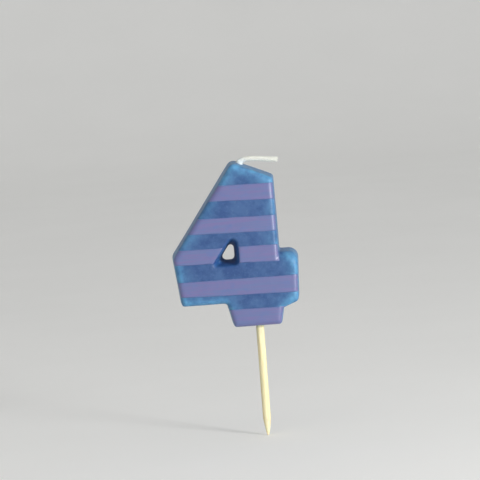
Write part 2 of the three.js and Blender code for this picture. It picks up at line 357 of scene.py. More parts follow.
@dataclass(frozen=True)
class BlueWax:
    """Dyed candle wax: mottled and slightly see-through, paler at its edges partly as thin wax and
    partly as painted light, with painted shade in the counter.
    """

    deep: Colour = Colour(48, 80, 132)
    plain: Colour = Colour(66, 99, 147)
    # pale edge colour: partly thin wax, partly painted light from the right
    rim: Colour = Colour(93, 156, 197)
    bloom: Colour = Colour(108, 142, 180)
    # painted shade: deeper blue on the counter's walls and floor, where the stem keeps the light
    # out
    hollow: Colour = Colour(42, 90, 148)
    mottle: Pattern = Pattern(0.3, 4.0, 0.6, Span(0.38, 0.62))
    rim_patches: Pattern = Pattern(0.6, 4.0, span=Span(0.35, 0.65, 0.5, 1.0))
    haze: Pattern = Pattern(1.3, 5.0, 0.65, Span(0.54, 0.8, 0.0, 0.32))
    flecks: Pattern = Pattern(0.9, span=Span(0.07, 0.02, 0.0, 0.3))
    grain: Pattern = Pattern(5.5, 4.0, 0.6)
    lumps: Pattern = Pattern(1.1)
    dullness: Span = Span(0.3, 0.7, 0.34, 0.54)
    counter_shade_dullness: float = 0.3
    grain_share: float = 0.25
    relief_depth: float = 0.06 * MM
    glow: float = 0.35
    glow_reach: tuple[float, float, float] = (0.35, 0.6, 1.0)
    glow_depth: float = 0.9 * MM
    refraction: float = 1.44

    def material(self) -> bpy.types.Material:
        """Returns the wax's material."""
        shader = Shader("blue_wax_cast")
        colour = shader.blend(shader.cloud(self.mottle), self.deep, self.plain)
        # the pale edge in patches: partly thin wax, partly painted light
        patches = shader.cloud(self.rim_patches)
        rim = shader.join(Join.PRODUCT, shader.attribute(Mark.RIM_PALENESS_AND_LIGHT), patches)
        colour = shader.blend(rim, colour, self.rim)
        colour = shader.blend(shader.cloud(self.haze), colour, self.bloom)
        colour = shader.blend(shader.spots(self.flecks), colour, self.bloom)
        # painted shade: deeper blue and duller wax inside the counter
        hollow = shader.attribute(Mark.COUNTER_SHADE)
        colour = shader.blend(hollow, colour, self.hollow)
        grain = shader.cloud(self.grain)
        dull_counter_shade = shader.join(Join.PRODUCT, hollow, self.counter_shade_dullness)
        fine = shader.join(Join.PRODUCT, grain, self.grain_share)
        height = shader.join(Join.SUM, shader.cloud(self.lumps), fine)
        return shader.finished(
            Base_Color=colour,
            Roughness=shader.join(Join.SUM, shader.spread(grain, self.dullness), dull_counter_shade),
            Normal=shader.relief(height, self.relief_depth),
            Subsurface_Weight=self.glow,
            Subsurface_Radius=self.glow_reach,
            Subsurface_Scale=self.glow_depth,
            IOR=self.refraction,
        )


@dataclass(frozen=True)
class LavenderFilm:
    """Lacquer print: nearly even, faintly streaked along the stripe, thinner at its border."""

    body: Colour = Colour(93, 107, 155)
    warm: Colour = Colour(107, 102, 153)
    thin: Colour = Colour(82, 106, 161)
    streaks: Pattern = Pattern(1.0, 4.0, 0.6, Span(0.4, 0.62), (0.08, 0.6, 1.6))
    worn: Pattern = Pattern(0.5, 4.0, 0.65, Span(0.52, 0.72, 0.0, 0.7))
    border_patches: Pattern = Pattern(1.4, span=Span(0.4, 0.6, 0.2, 0.8))
    grain: Pattern = Pattern(4.0)
    ripple: Pattern = Pattern(2.4, stretch=(0.08, 0.6, 1.6))
    dullness: Span = Span(0.3, 0.7, 0.34, 0.46)
    grain_share: float = 0.3
    relief_depth: float = 0.03 * MM
    coat: float = 0.9
    coat_dullness: float = 0.36
    refraction: float = 1.48

    def material(self) -> bpy.types.Material:
        """Returns the print's material."""
        shader = Shader("lavender_film_print")
        colour = shader.blend(shader.cloud(self.streaks), self.body, self.warm)
        colour = shader.blend(shader.cloud(self.worn), colour, self.thin)
        patches = shader.cloud(self.border_patches)
        border = shader.join(Join.PRODUCT, shader.attribute(Mark.BORDER), patches)
        colour = shader.blend(border, colour, self.thin)
        grain = shader.cloud(self.grain)
        fine = shader.join(Join.PRODUCT, grain, self.grain_share)
        height = shader.join(Join.SUM, shader.cloud(self.ripple), fine)
        return shader.finished(
            Base_Color=colour,
            Roughness=shader.spread(grain, self.dullness),
            Normal=shader.relief(height, self.relief_depth),
            Coat_Weight=self.coat,
            Coat_Roughness=self.coat_dullness,
            IOR=self.refraction,
        )


@dataclass(frozen=True)
class WaxedCotton:
    """Braided cotton soaked in clear wax, tinted where it leaves the dyed wax."""

    yarn: Colour = Colour(247, 247, 235)
    shade: Colour = Colour(226, 230, 218)
    tint: Colour = Colour(206, 226, 240)
    fibres: Pattern = Pattern(1.0, 4.0, 0.65, Span(0.3, 0.6), (9.0, 60.0, 1.0), Mark.FIBRES)
    dullness: Span = Span(0.0, 1.0, 0.5, 0.68)
    relief_depth: float = 0.03 * MM
    glow: float = 0.3
    glow_reach: tuple[float, float, float] = (1.0, 0.95, 0.85)
    glow_depth: float = 0.4 * MM
    sheen: float = 0.15

    def material(self) -> bpy.types.Material:
        """Returns the wick's material."""
        shader = Shader("waxed_cotton_braid")
        fibres = shader.cloud(self.fibres)
        colour = shader.blend(fibres, self.shade, self.yarn)
        return shader.finished(
            Base_Color=shader.blend(shader.attribute(Mark.TINT), colour, self.tint),
            Roughness=shader.spread(fibres, self.dullness),
            Normal=shader.relief(fibres, self.relief_depth),
            Subsurface_Weight=self.glow,
            Subsurface_Radius=self.glow_reach,
            Subsurface_Scale=self.glow_depth,
            Sheen_Weight=self.sheen,
        )


@dataclass(frozen=True)
class PaleWood:
    """Turned birch: long fine grain, a few darker fibres and small pores."""

    light: Colour = Colour(254, 247, 208)
    grain: Colour = Colour(244, 226, 172)
    pore: Colour = Colour(190, 158, 104)
    bands: Pattern = Pattern(1.0, 5.0, 0.6, Span(0.36, 0.66), (2.6, 2.6, 0.09))
    fibres: Pattern = Pattern(1.0, 3.0, 0.7, stretch=(9.0, 9.0, 0.35))
    pores: Pattern = Pattern(1.0, span=Span(0.12, 0.05, 0.0, 0.6), stretch=(3.4, 3.4, 0.7))
    dark_fibres: Span = Span(0.6, 0.8, 0.0, 0.6)
    dullness: Span = Span(0.3, 0.7, 0.5, 0.72)
    relief_depth: float = 0.05 * MM
    glow: float = 0.1
    glow_depth: float = 0.3 * MM
    gloss: float = 0.3

    def material(self) -> bpy.types.Material:
        """Returns the pick's material."""
        shader = Shader("pale_wood_pick")
        bands, fibres = shader.cloud(self.bands), shader.cloud(self.fibres)
        colour = shader.blend(bands, self.light, self.grain)
        colour = shader.blend(shader.spread(fibres, self.dark_fibres), colour, self.grain)
        return shader.finished(
            Base_Color=shader.blend(shader.spots(self.pores), colour, self.pore),
            Roughness=shader.spread(fibres, self.dullness),
            Normal=shader.relief(shader.join(Join.SUM, fibres, bands), self.relief_depth),
            Subsurface_Weight=self.glow,
            Subsurface_Scale=self.glow_depth,
            Specular_IOR_Level=self.gloss,
        )


@dataclass(frozen=True)
class PaleBoard:
    """The plain pale floor."""

    light: Colour = Colour(238, 238, 236)
    shade: Colour = Colour(236, 236, 234)
    tone: Pattern = Pattern(0.02, 2.0, span=Span(0.3, 0.7))
    dullness: float = 0.9
    lift: float = 0.14

    def material(self) -> bpy.types.Material:
        """Returns the floor's material, a little brighter to the camera than to the candle."""
        shader = Shader("pale_board")
        colour = shader.blend(shader.cloud(self.tone), self.light, self.shade)
        rays = shader.node("ShaderNodeLightPath").outputs
        seen = shader.join(Join.SUM, rays["Is Camera Ray"], rays["Is Glossy Ray"])
        seen = shader.join(Join.SUM, seen, rays["Is Transmission Ray"])
        return shader.finished(
            Base_Color=colour,
            Roughness=self.dullness,
            Emission_Color=colour,
            Emission_Strength=shader.join(Join.PRODUCT, seen, self.lift),
        )


FINISHES: dict[Slot, Callable[[], bpy.types.Material]] = {
    Slot.WAX: BlueWax().material,
    Slot.FILM: LavenderFilm().material,
    Slot.COTTON: WaxedCotton().material,
    Slot.WOOD: PaleWood().material,
}


class Pieces:
    """Makes objects from meshes, gives them their finish and hides the CAD nodes that they replace.
    """

    def __init__(self) -> None:
        """Starts with no finishes made."""
        self.made: dict[Slot, bpy.types.Material] = {}

    def finish(self, slot: Slot) -> bpy.types.Material:
        """Makes each finish once.

        Args:
            slot: The record's slot.

        Returns:
            The slot's material.
        """
        if slot not in self.made:
            self.made[slot] = FINISHES[slot]()
        return self.made[slot]

    def dress(
        self, mesh: bpy.types.Mesh, name: str, slot: Slot, nodes: Sequence[str]
    ) -> bpy.types.Object:
        """Turns a mesh into a finished piece that stands for CAD nodes.

        Args:
            mesh: The piece's mesh, in place.
            name: The piece's name.
            slot: The finish it takes.
            nodes: The CAD nodes that it replaces.

        Returns:
            The piece, which rides on nothing yet.
        """
        mesh.materials.clear()
        mesh.materials.append(self.finish(slot))
        mesh.shade_smooth()
        piece = add_object(name, mesh)
        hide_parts(*nodes)
        LOG.info("%s: %d faces, in place of %s", name, len(mesh.polygons), ", ".join(nodes))
        return piece


def add_object(name: str, data: bpy.types.ID) -> bpy.types.Object:
    """Puts a mesh, a lamp or a camera into the scene.

    Args:
        name: The object's name.
        data: What it shows.

    Returns:
        The object.
    """
    made = bpy.data.objects.new(name, data)
    bpy.context.scene.collection.objects.link(made)
    return made


def new_mesh(
    name: str, points: Sequence[Sequence[float]], faces: Sequence[Sequence[int]]
) -> bpy.types.Mesh:
    """Makes a mesh.

    Args:
        name: The mesh's name.
        points: The places of its vertices.
        faces: The vertices of each face.

    Returns:
        The mesh.
    """
    mesh = bpy.data.meshes.new(name)
    mesh.from_pydata([tuple(p) for p in points], [], faces)
    mesh.update()
    return mesh


def tube_faces(first: int, rows: int, sides: int) -> list[tuple[int, ...]]:
    """Finds the faces of a closed tube whose points lie in rows, one after the other.

    Args:
        first: The number of its first point.
        rows: How many rows it has.
        sides: How many points a row has.

    Returns:
        The faces, with one over each end.
    """
    faces: list[tuple[int, ...]] = []
    for row in range(rows - 1):
        for k in range(sides):
            a, b = first + row * sides + k, first + row * sides + (k + 1) % sides
            faces.append((a, b, b + sides, a + sides))
    last = first + (rows - 1) * sides
    return faces + [tuple(reversed(range(first, first + sides))), tuple(range(last, last + sides))]


def store(mesh: bpy.types.Mesh, mark: Mark, values: Sequence[float]) -> None:
    """Keeps one value for each vertex."""
    layer = mesh.attributes.new(mark.value, "FLOAT", "POINT")
    layer.data.foreach_set("value", np.asarray(values, np.float32))


def places_of(mesh: bpy.types.Mesh) -> np.ndarray:
    """Returns the places of a mesh's vertices as a table."""
    return np.array([v.co for v in mesh.vertices])


def ramp(values: np.ndarray, start: float, length: float) -> np.ndarray:
    """Rises from 0 at start to 1 a length away, towards lower values where it is negative."""
    return np.clip((values - start) / length, 0, 1)


@dataclass(frozen=True)
class Wave:
    """A smooth unevenness: how high it is, the size of one bump and which of many noises."""

    height: float
    length: float
    seed: float = 0.0

    def at(self, point: Vector, seed: float = 0.0) -> float:
        """Returns the height at a point, from about -1 to 1 times its own height."""
        s = self.seed + seed
        return self.height * noise.noise(point / self.length + Vector((s, -s, 2 * s)))


@dataclass(frozen=True)
class Collar:
    """Wax drawn out round a cord or a stick: how far at most, and how wide it is."""

    height: float
    width: float

    def at(self, away: float) -> float:
        """Returns how far the wax is drawn out at a distance from the middle."""
        return self.height * math.exp(-((away / self.width) ** 2))


@dataclass(frozen=True)
class Corner:
    """A corner of an outline, seen from the front, with the radius of its round."""

    x: float
    z: float
    radius: float


@dataclass(frozen=True)
class Level:
    """A level of the moulding: how deep, how far drawn in outside and opened in the counter."""

    y: float
    inset: float
    opening: float


@dataclass
class Outline:
    """An outline of rounded corners, anticlockwise as the reader sees it."""

    corners: list[Corner]
    arc_steps: int = 12
    side_share: float = 0.45
    sharpest: float = 0.1 * MM

    def sides(self, i: int) -> tuple[Vector, Vector, float, float]:
        """Finds what meets at a corner.

        Args:
            i: The corner's number.

        Returns:
            The arriving and leaving directions, the shorter side's length and the turn.
        """
        here, before = self.corners[i], self.corners[i - 1]
        after = self.corners[(i + 1) % len(self.corners)]
        arriving = Vector((here.x - before.x, here.z - before.z))
        leaving = Vector((after.x - here.x, after.z - here.z))
        shorter = min(arriving.length, leaving.length)
        arriving.normalize()
        leaving.normalize()
        turn = math.atan2(arriving.x * leaving.y - arriving.y * leaving.x, arriving.dot(leaving))
        return arriving, leaving, shorter, turn

    def inset(self, distance: float) -> "Outline":
        """Moves every side inwards.

        Args:
            distance: How far, or how far outwards where it is negative.

        Returns:
            The new outline, with concentric rounds.
        """
        moved = []
        for i, here in enumerate(self.corners):
            arriving, leaving, _, turn = self.sides(i)
            mitre = distance / (1 + arriving.dot(leaving))
            radius = max(here.radius - math.copysign(1.0, turn) * distance, self.sharpest)
            x = here.x - (arriving.y + leaving.y) * mitre
            z = here.z + (arriving.x + leaving.x) * mitre
            moved.append(Corner(x, z, radius))
        return Outline(moved)

    def points(self) -> list[Vector]:
        """Returns the outline's points, with each corner cut into an arc."""
        found = []
        for i, here in enumerate(self.corners):
            arriving, _, shorter, turn = self.sides(i)
            reach = math.tan(abs(turn) / 2)
            setback = min(here.radius * reach, self.side_share * shorter)
            to_centre = math.copysign(setback / reach, turn)
            start = Vector((here.x, here.z)) - arriving * setback
            centre = Vector((start.x - arriving.y * to_centre, start.y + arriving.x * to_centre))
            for k in range(self.arc_steps + 1):
                swing = Matrix.Rotation(turn * k / self.arc_steps, 2)
                found.append(centre + swing @ (start - centre))
        return found

    def sections(self) -> list[tuple[np.ndarray, np.ndarray]]:
        """Returns the short straight sections that the outline is made of, by their ends."""
        ring = np.array([tuple(p) for p in self.points()])
        return list(zip(ring, np.roll(ring, -1, axis=0)))

    def contains(self, flat: np.ndarray) -> np.ndarray:
        """Tells which points lie inside.

        Args:
            flat: The points' X and Z.

        Returns:
            For each point whether it lies inside.
        """
        inside = np.zeros(len(flat), bool)
        for (x0, z0), (x1, z1) in self.sections():
            if z0 != z1:
                crossing = x0 + (flat[:, 1] - z0) * (x1 - x0) / (z1 - z0)
                inside ^= ((z0 > flat[:, 1]) != (z1 > flat[:, 1])) & (flat[:, 0] < crossing)
        return inside

    def reach(self, z: float, side: Side) -> float:
        """Finds how far the outline reaches at a height.

        Args:
            z: The height, which is moved into the outline's own span.
            side: The side to look to.

        Returns:
            The furthest X at that height.
        """
        ring = self.points()
        level = min(max(z, min(p.y for p in ring)), max(p.y for p in ring))
        found = []
        for a, b in zip(ring, ring[1:] + ring[:1]):
            if min(a.y, b.y) <= level <= max(a.y, b.y):
                share = 0.5 if a.y == b.y else (level - a.y) / (b.y - a.y)
                found.append(side * (a.x + (b.x - a.x) * share))
        return side * max(found)


@dataclass
class WaxNumeral:
    """The cast numeral: strokes, arm and counter, with soft edges and the marks of casting."""

    thickness: float = 9.0 * MM
    apex_height: float = 44.5 * MM
    left_reach: float = 22.0 * MM
    crossbar_top: float = 19.9 * MM
    diagonal_lean: float = math.radians(35.4)
    top_fall: float = math.radians(23.6)
    top_right_reach: float = 6.6 * MM
    stem_reach: float = 6.95 * MM
    arm_reach: float = 11.75 * MM
    arm_narrowing: float = 0.6 * MM
    arm_top_round: float = 3.0 * MM
    arm_underside: float = 4.35 * MM
    arm_underside_rise: float = 1.6 * MM
    arm_root_depth: float = 3.8 * MM
    bar_underside: float = 6.45 * MM
    bar_end_lean: float = 1.5 * MM
    foot_left_reach: float = 7.0 * MM
    foot_right_reach: float = 6.15 * MM
    foot_flare: float = 1.5 * MM
    stem_width: float = 11.4 * MM
    diagonal_width: float = 10.5 * MM
    bar_depth: float = 10.43 * MM
    counter_draft: float = math.radians(6.5)
    counter_edge_radius: float = 0.7 * MM
    counter_left_radii: tuple[float, float] = (0.4 * MM, 1.7 * MM)
    counter_right_radii: tuple[float, float] = (1.2 * MM, 0.9 * MM)
    side_draft: float = math.radians(3.0)
    face_edge_radius: float = 1.25 * MM
    back_edge_radius: float = 0.35 * MM
    apex_radius: float = 2.0 * MM
    left_point_radius: float = 2.4 * MM
    arm_top_radius: float = 2.6 * MM
    arm_radius: float = 1.6 * MM
    corner_radius: float = 1.1 * MM
    notch_radius: float = 0.6 * MM
    foot_bend_radius: float = 5.0 * MM
    wick_x: float = -2.218 * MM
    wick_height: float = 43.495 * MM
    edge_steps: int = 8
    weld_distance: float = 0.001 * MM
    voxel: float = 0.22 * MM
    melt_share: float = 0.5
    melt_rounds: int = 4
    polish_rounds: int = 1
    long_wave: Wave = Wave(0.05 * MM, 7.0 * MM, 3.1)
    short_wave: Wave = Wave(0.02 * MM, 1.7 * MM, 8.2)
    back_wave: Wave = Wave(0.05 * MM, 3.2 * MM, 5.5)
    back_facing: float = 0.9
    back_sink: float = 0.08 * MM
    wick_collar: Collar = Collar(0.3 * MM, 0.85 * MM)
    pick_collar: Collar = Collar(0.25 * MM, 1.5 * MM)
    pick_collar_top: float = 1.2 * MM
    bubble_seed: int = 4
    bubble_count: int = 240
    bubble_across: tuple[float, float] = (-20.0 * MM, 11.0 * MM)
    bubble_deep: tuple[float, float] = (-2.5 * MM, 4.6 * MM)
    bubble_up: tuple[float, float] = (1.0 * MM, 43.0 * MM)
    bubble_radius: tuple[float, float] = (0.35 * MM, 0.6 * MM)
    bubble_depth: float = 0.45
    rim_spread: float = 1.8 * MM
    mark_step: float = 0.5 * MM
    # painted light: the arm's edges are paler, as if lit from the right and above
    arm_light_gain: float = 0.15
    arm_blend: float = 0.96 * MM
    upper_fade: float = 0.42
    upper_span: tuple[float, float] = (21.0 * MM, 38.0 * MM)
    fade_length: float = 1.5 * MM
    side_fade: float = 0.4
    # lengths of the painted shade in the corner beside the stem, above the arm
    stem_shade: float = 2.4 * MM
    stem_shade_width: float = 7.2 * MM
    stem_shade_depth: float = 4.8 * MM
    skin_depth: float = 0.1 * MM
    counter_shade_fade: float = 0.7 * MM

    @property
    def face_y(self) -> float:
        """The depth of the flat face."""
        return -self.thickness / 2

    @property
    def back_y(self) -> float:
        """The depth of the flat back."""
        return self.thickness / 2

    @property
    def wick_root(self) -> Vector:
        """The place where the wick leaves the wax."""
        return Vector((self.wick_x, 0.0, self.wick_height))

    def strokes(self) -> Outline:
        """Returns the outline without the arm, at the back, where it is largest."""
        rise = self.apex_height - self.crossbar_top
        apex = -self.left_reach + rise * math.tan(self.diagonal_lean)
        top_right = self.apex_height - (self.top_right_reach - apex) * math.tan(self.top_fall)
        bar_end = -self.left_reach + self.bar_end_lean
        notch = -self.foot_left_reach - self.foot_flare
        return Outline(
            [
                Corner(self.foot_right_reach, 0.0, self.corner_radius),
                Corner(self.stem_reach, self.arm_underside, self.foot_bend_radius),
                Corner(self.top_right_reach, top_right, self.corner_radius),
                Corner(apex, self.apex_height, self.apex_radius),
                Corner(-self.left_reach, self.crossbar_top, self.left_point_radius),
                Corner(bar_end, self.bar_underside, self.corner_radius),
                Corner(notch, self.bar_underside, self.notch_radius),
                Corner(-self.foot_left_reach, 0.0, self.corner_radius),
            ]
        )

    def arm(self, top: float) -> Outline:
        """Finds the arm's outline.

        Args:
            top: The height of its top at the back of the level that it is made for.

        Returns:
            The outline, with its root inside the stem.
        """
        low_reach = self.arm_reach - self.arm_narrowing
        rise = self.arm_underside_rise / (low_reach - self.stem_reach)
        root = self.stem_reach - self.arm_root_depth
        root_underside = self.arm_underside - self.arm_root_depth * rise
        return Outline(
            [
                Corner(root, root_underside, self.notch_radius),
                Corner(low_reach, self.arm_underside + self.arm_underside_rise, self.arm_radius),
                Corner(self.arm_reach, top, self.arm_top_radius),
                Corner(root, top, self.notch_radius),
            ]
        )

    def counter(self, y: float) -> Outline:
        """Finds the counter's outline where its walls would meet the face if the edge were sharp.

        Args:
            y: The depth that gets its own rounds, once the draft there has narrowed the outline.

        Returns:
            The outline.
        """
        lean = math.tan(self.diagonal_lean)
        floor = self.bar_underside + self.bar_depth
        right = self.stem_reach - self.stem_width
        diagonal = -self.left_reach + self.diagonal_width / math.cos(self.diagonal_lean)
        left = diagonal + (floor - self.crossbar_top) * lean
        top = floor + (right - left) / lean
        share = (y - self.face_y) / self.thickness
        narrowed = (y - self.face_y) * math.tan(self.counter_draft)
        left_round, right_round = (
            float(np.interp(share, (0, 1), radii)) + narrowed
            for radii in (self.counter_left_radii, self.counter_right_radii)
        )
        return Outline(
            [
                Corner(left, floor, left_round),
                Corner(right, floor, right_round),
                Corner(right, top, right_round),
            ]
        )

    def face_opening(self) -> Outline:
        """Returns the counter's outline on the flat face, where its edge begins to turn in."""
        return self.counter(self.face_y).inset(-self.counter_edge_radius)

    def edge_round(self, distance: float, radius: float) -> float:
        """Finds what a rounded edge takes off a wall.

        Args:
            distance: How far below the flat that the edge runs into.
            radius: The edge's radius.

        Returns:
            How much thinner the edge makes the wall there.
        """
        rest = max(radius - distance, 0.0)
        return radius - math.sqrt(radius**2 - rest**2)

    def level(self, y: float) -> Level:
        """Finds how far the draft and the rounded edges have moved the walls.

        Args:
            y: The level's depth.

        Returns:
            The level.
        """
        below_face, below_back = y - self.face_y, self.back_y - y
        back_edge = self.edge_round(below_back, self.back_edge_radius)
        side = below_back * math.tan(self.side_draft)
        side += self.edge_round(below_face, self.face_edge_radius)
        hole = self.edge_round(below_face, self.counter_edge_radius)
        hole -= below_face * math.tan(self.counter_draft)
        return Level(y, side + back_edge, hole + back_edge)

    def levels(self) -> list[Level]:
        """Returns the levels from the back to the face."""
        face_edge, back_edge = self.face_edge_radius, self.back_edge_radius
        steps = np.linspace(0.0, math.pi / 2, self.edge_steps + 1)
        middle = np.linspace(self.arm_top_round, face_edge, self.edge_steps, endpoint=False)
        depths = [self.back_y - back_edge * (1 - math.cos(angle)) for angle in steps]
        depths += [self.face_y + below for below in middle]
        depths += [self.face_y + face_edge * (1 - math.sin(angle)) for angle in steps]
        return [self.level(float(y)) for y in depths]

    def arm_top(self, level: Level) -> float:
        """Finds the arm's top at a level, where the large round brings it down towards the face.

        Args:
            level: The level.

        Returns:
            The height of the top before the level's own inset.
        """
        axis_y = self.face_y + self.arm_top_round
        axis_z = self.crossbar_top - self.level(axis_y).inset - self.arm_top_round
        forward = max(axis_y - level.y, 0.0)
        round_top = axis_z + math.sqrt(max(self.arm_top_round**2 - forward**2, 0.0))
        if level.y >= axis_y:
            return self.crossbar_top
        return min(self.crossbar_top, round_top + level.inset)

    def stack(
        self,
        form: bmesh.types.BMesh,
        rings: list[list[Vector]],
        depths: list[float],
        outwards: bool,
    ) -> None:
        """Adds the walls through a stack of rings.

        Args:
            form: The mesh to add to.
            rings: The rings' points, from the back to the face.
            depths: Each ring's depth.
            outwards: Whether the walls look outwards.
        """
        rows = [[form.verts.new((p.x, y, p.y)) for p in ring] for ring, y in zip(rings, depths)]
        for far, near in zip(rows, rows[1:]):
            for i in range(len(far)):
                j = (i + 1) % len(far)
                quad = [far[i], far[j], near[j], near[i]]
                form.faces.new(quad if outwards else quad[::-1])

    def cap(self, form: bmesh.types.BMesh, loops: list[list[Vector]], y: float) -> None:
        """Closes one end of a stack.

        Args:
            form: The mesh to add to.
            loops: The outside, and the counter's ring if there is one.
            y: The end's depth.
        """
        flat = [[Vector((p.x, p.y, 0.0)) for p in loop] for loop in loops]
        verts = [form.verts.new((p.x, y, p.y)) for loop in loops for p in loop]
        for triangle in geometry.tessellate_polygon(flat):
            form.faces.new([verts[i] for i in triangle])

    def rough_cast(self) -> bpy.types.Mesh:
        """Returns the strokes and the arm as two closed shells that run into each other."""
        form = bmesh.new()
        levels = self.levels()
        depths = [level.y for level in levels]
        outside = [self.strokes().inset(level.inset).points() for level in levels]
        hole = [self.counter(level.y).inset(-level.opening).points() for level in levels]
        arm = [self.arm(self.arm_top(level)).inset(level.inset).points() for level in levels]
        self.stack(form, outside, depths, True)
        self.stack(form, hole, depths, False)
        self.stack(form, arm, depths, True)
        for end in (0, -1):
            self.cap(form, [outside[end], hole[end]], depths[end])
            self.cap(form, [arm[end]], depths[end])
        bmesh.ops.remove_doubles(form, verts=form.verts, dist=self.weld_distance)
        bmesh.ops.recalc_face_normals(form, faces=form.faces)
        mesh = bpy.data.meshes.new("rough_cast")
        form.to_mesh(mesh)
        form.free()
        return mesh

    def fused(self, rough: bpy.types.Mesh) -> bpy.types.Mesh:
        """Fuses the shells into one skin of small even faces.

        Args:
            rough: The shells.

        Returns:
            The skin.
        """
        blank = add_object("blank", rough)
        remesh = blank.modifiers.new("fuse", "REMESH")
        remesh.mode = "VOXEL"
        remesh.voxel_size = self.voxel
        graph = bpy.context.evaluated_depsgraph_get()
        skin = bpy.data.meshes.new_from_object(blank.evaluated_get(graph))
        bpy.data.objects.remove(blank)
        return skin

    def soften(self, skin: bpy.types.Mesh, rounds: int) -> None:
        """Melts the small steps of the skin into soft edges.

        Args:
            skin: The skin, which is changed.
            rounds: How often it is smoothed.
        """
        form = bmesh.new()
        form.from_mesh(skin)
        every_way = {"use_axis_x": True, "use_axis_y": True, "use_axis_z": True}
        for _ in range(rounds):
            bmesh.ops.smooth_vert(form, verts=form.verts, factor=self.melt_share, **every_way)
        form.to_mesh(skin)
        form.free()

    def waves(self, skin: bpy.types.Mesh) -> np.ndarray:
        """Finds how the skin is moved by its waves, the sunken back and the collars.

        Args:
            skin: The skin.

        Returns:
            The move of each vertex.
        """
        moves = []
        for vertex in skin.vertices:
            place, normal = vertex.co.copy(), vertex.normal.copy()
            wave = self.long_wave.at(place) + self.short_wave.at(place)
            if normal.y > self.back_facing:
                wave += self.back_wave.at(place) - self.back_sink
            move = normal * wave
            move.z += self.wick_collar.at((place - self.wick_root).length)
            if place.z < self.pick_collar_top:
                move.z -= self.pick_collar.at(math.hypot(place.x, place.y))
            moves.append(move)
        return np.array(moves)

    def cast_marks(self, skin: bpy.types.Mesh) -> None:
        """Gives the skin its waves, the sunken back, the collars of wick and pick, and bubbles.

        Args:
            skin: The skin, which is changed.
        """
        shift = self.waves(skin)
        places = places_of(skin)
        normals = np.array([v.normal for v in skin.vertices])
        chance = random.Random(self.bubble_seed)
        for _ in range(self.bubble_count):
            spans = (self.bubble_across, self.bubble_deep, self.bubble_up)
            centre = np.array([chance.uniform(*span) for span in spans])
            radius = chance.uniform(*self.bubble_radius)
            away = np.linalg.norm(places - centre, axis=1)
            near = away < radius
            depth = self.bubble_depth * radius * (1 - (away[near] / radius) ** 2) ** 2
            shift[near] -= normals[near] * depth[:, None]
        skin.vertices.foreach_set("co", (places + shift).ravel())
        skin.update()

    def edge_glow(self, flat: np.ndarray) -> np.ndarray:
        """Finds how near points are to the outline that the strokes and the arm have together.

        Args:
            flat: The points' X and Z.

        Returns:
            About 1 for a point on an edge, less further in, and more again between two edges.
        """
        glow = np.zeros(len(flat))
        strokes, arm = self.strokes(), self.arm(self.crossbar_top)
        for outline, other in ((strokes, arm), (arm, strokes)):
            for a, b in outline.sections():
                length = float(np.linalg.norm(b - a))
                count = max(1, round(length / self.mark_step))
                marks = a + (b - a) * ((np.arange(count) + 0.5) / count)[:, None]
                for mark in marks[~other.contains(marks)]:
                    away = np.sum((flat - mark) ** 2, axis=1)
                    glow += length / count * np.exp(-away / (2 * self.rim_spread**2))
        return glow / (self.rim_spread * math.sqrt(2 * math.pi))

    def mark_skin(self, skin: bpy.types.Mesh) -> None:
        """Stores the pale edge at each vertex, partly thin wax and partly painted light, less where
        shade is painted beside the stem, and the painted shade deep in the counter.

        Args:
            skin: The skin, which gets the values.
        """
        places = places_of(skin)
        across, depth, height = places.T
        flat = places[:, [0, 2]]
        # painted light: the pale edge grows stronger on the arm, away from the stem
        to_arm = ramp(across, self.stem_reach - self.arm_blend, self.stem_shade)
        rim = np.clip(self.edge_glow(flat) * (1 + self.arm_light_gain * to_arm), 0, 1)
        # the pale edge, with its painted light, is weaker high up on the diagonal and the stem
        low, high = self.upper_span
        upper = ramp(height, low, self.fade_length) * ramp(height, high, -self.fade_length)
        rim *= 1 - self.upper_fade * upper
        # painted shade: the pale edge is taken away in the corner beside the stem above the arm, so
        # it stays darker
        stem_corner_shade = ramp(height, self.crossbar_top - self.stem_shade_depth, self.stem_shade)
        stem_corner_shade *= ramp(across, self.stem_reach - self.stem_shade_width, self.stem_shade)
        stem_corner_shade[(across < self.stem_reach) & (height > self.crossbar_top)] = 0.0
        rim *= 1 - stem_corner_shade * (1 - to_arm)
        # the pale edge, with its painted light, fades on the side walls
        edge = self.face_edge_radius
        rim *= 1 - self.side_fade * ramp(depth, self.face_y + edge / 2, edge)
        store(skin, Mark.RIM_PALENESS_AND_LIGHT, rim)
        # painted shade: a mask of the counter's walls, between the face and the back
        below_face = ramp(depth, self.face_y + self.skin_depth, self.counter_shade_fade)
        before_back = ramp(depth, self.back_y - self.back_edge_radius, -self.counter_shade_fade)
        in_counter = self.face_opening().contains(flat)
        store(skin, Mark.COUNTER_SHADE, in_counter * below_face * before_back)

    def build(self, pieces: Pieces) -> bpy.types.Mesh:
        """Builds the wax and sets it in the frame.

        Args:
            pieces: The maker of pieces.

        Returns:
            The wax's mesh, which the print lies on.
        """
        skin = self.fused(self.rough_cast())
        self.soften(skin, self.melt_rounds)
        self.cast_marks(skin)
        self.soften(skin, self.polish_rounds)
        self.mark_skin(skin)
        piece = pieces.dress(skin, "wax_numeral", Slot.WAX, ["wax_body"])
        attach(piece, Body.CANDLE.value)
        return skin


@dataclass(frozen=True)
class Stripe:
    """One printed patch.

    Low and high are its edges' heights in millimetres, each at the left and at the right of the
    whole print. Left and right are its ends, unless it runs off the numeral or ends at the counter.
    """

    node: str
    low: tuple[float, float]
    high: tuple[float, float]
    left: float = -30.0
    right: float = 30.0
    counter_side: Side = Side.NEITHER


